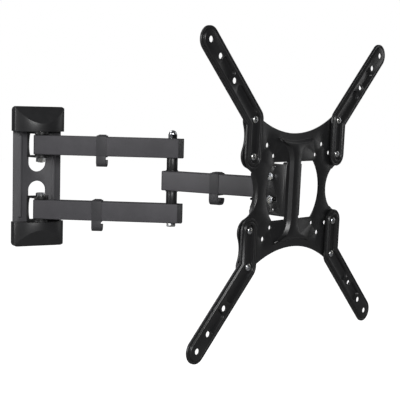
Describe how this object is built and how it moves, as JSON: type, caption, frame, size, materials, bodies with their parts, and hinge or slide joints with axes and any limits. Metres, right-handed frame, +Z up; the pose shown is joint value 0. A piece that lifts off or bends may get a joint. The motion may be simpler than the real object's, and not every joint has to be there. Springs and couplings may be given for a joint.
{
  "type": "full motion TV wall mount",
  "caption": "Swinging and tilting wall mount: wall plate with covers, double tube arm, second arm, pressed screen plate and splayed extension arms.",
  "frame": {"origin": "centre of the wall plate's flat back face, on the wall", "axes": "+Z up, +Y into the wall, the arms reach out towards -Y, +X to the right seen from the room"},
  "size_m": [0.5209, 0.4049, 0.4344],
  "materials": {
    "black_powder_coat": "satin black powder coat",
    "grey_black_tube_coat": "satin dark grey powder coat",
    "black_plastic": "fine moulded grain",
    "nylon": "smooth",
    "zinc": "bright zinc plate",
    "chrome": "polished"
  },
  "bodies": {
    "wall_bracket": {"wall_plate": "grey_black_tube_coat", "upper_pivot_bracket": "black_powder_coat", "lower_pivot_bracket": "black_powder_coat", "top_cover": "black_plastic", "bottom_cover": "black_plastic", "upper_wall_bolt": "zinc", "upper_wall_nut": "zinc", "upper_wall_glide_top": "nylon", "upper_wall_glide_bottom": "nylon", "lower_wall_bolt": "zinc", "lower_wall_nut": "zinc", "lower_wall_glide_top": "nylon", "lower_wall_glide_bottom": "nylon"},
    "first_arm": {"upper_tube": "grey_black_tube_coat", "upper_tube_wall_cap": "black_plastic", "upper_tube_elbow_cap": "black_plastic", "upper_cable_clip": "black_plastic", "upper_spacer": "black_powder_coat", "lower_tube": "grey_black_tube_coat", "lower_tube_wall_cap": "black_plastic", "lower_tube_elbow_cap": "black_plastic", "lower_cable_clip": "black_plastic", "lower_spacer": "black_powder_coat", "elbow_glide_top": "nylon", "elbow_glide_bottom": "nylon", "elbow_bolt": "zinc", "elbow_cap_nut": "chrome"},
    "second_arm": {"second_arm_tube": "grey_black_tube_coat", "second_arm_elbow_cap": "black_plastic", "second_arm_head_cap": "black_plastic", "second_arm_cable_clip": "black_plastic"},
    "swivel_head": {"head_bracket": "black_powder_coat", "swivel_bolt": "zinc", "swivel_nut": "zinc", "swivel_glide_top": "nylon", "swivel_glide_bottom": "nylon", "tilt_pivot_bolt": "zinc", "tilt_pivot_nut": "zinc", "tilt_lock_bolt": "zinc", "tilt_lock_nut": "zinc"},
    "screen_frame": {"screen_plate": "black_powder_coat", "arm_top_left": "black_powder_coat", "arm_screw_top_left_inner": "zinc", "arm_screw_top_left_outer": "zinc", "arm_top_right": "black_powder_coat", "arm_screw_top_right_inner": "zinc", "arm_screw_top_right_outer": "zinc", "arm_bottom_left": "black_powder_coat", "arm_screw_bottom_left_inner": "zinc", "arm_screw_bottom_left_outer": "zinc", "arm_bottom_right": "black_powder_coat", "arm_screw_bottom_right_inner": "zinc", "arm_screw_bottom_right_outer": "zinc"}
  },
  "joints": [
    {"name": "wall_swing", "type": "hinge", "parent": "wall_bracket", "child": "first_arm", "pos_m": [0, -0.02, 0], "axis": [0, 0, 1], "range_deg": [-147.5, 32.5]},
    {"name": "elbow_swing", "type": "hinge", "parent": "first_arm", "child": "second_arm", "pos_m": [0.1729, -0.13015, 0], "axis": [0, 0, 1], "range_deg": [-74, 126]},
    {"name": "head_swivel", "type": "hinge", "parent": "second_arm", "child": "swivel_head", "pos_m": [0.25127, -0.25804, 0], "axis": [0, 0, 1], "range_deg": [-79.5, 100.5]},
    {"name": "tilt", "type": "hinge", "parent": "swivel_head", "child": "screen_frame", "pos_m": [0.26489, -0.29352, 0.0185], "axis": [0.9336, 0.3584, 0], "range_deg": [-6.6, 13.4]}
  ]
}
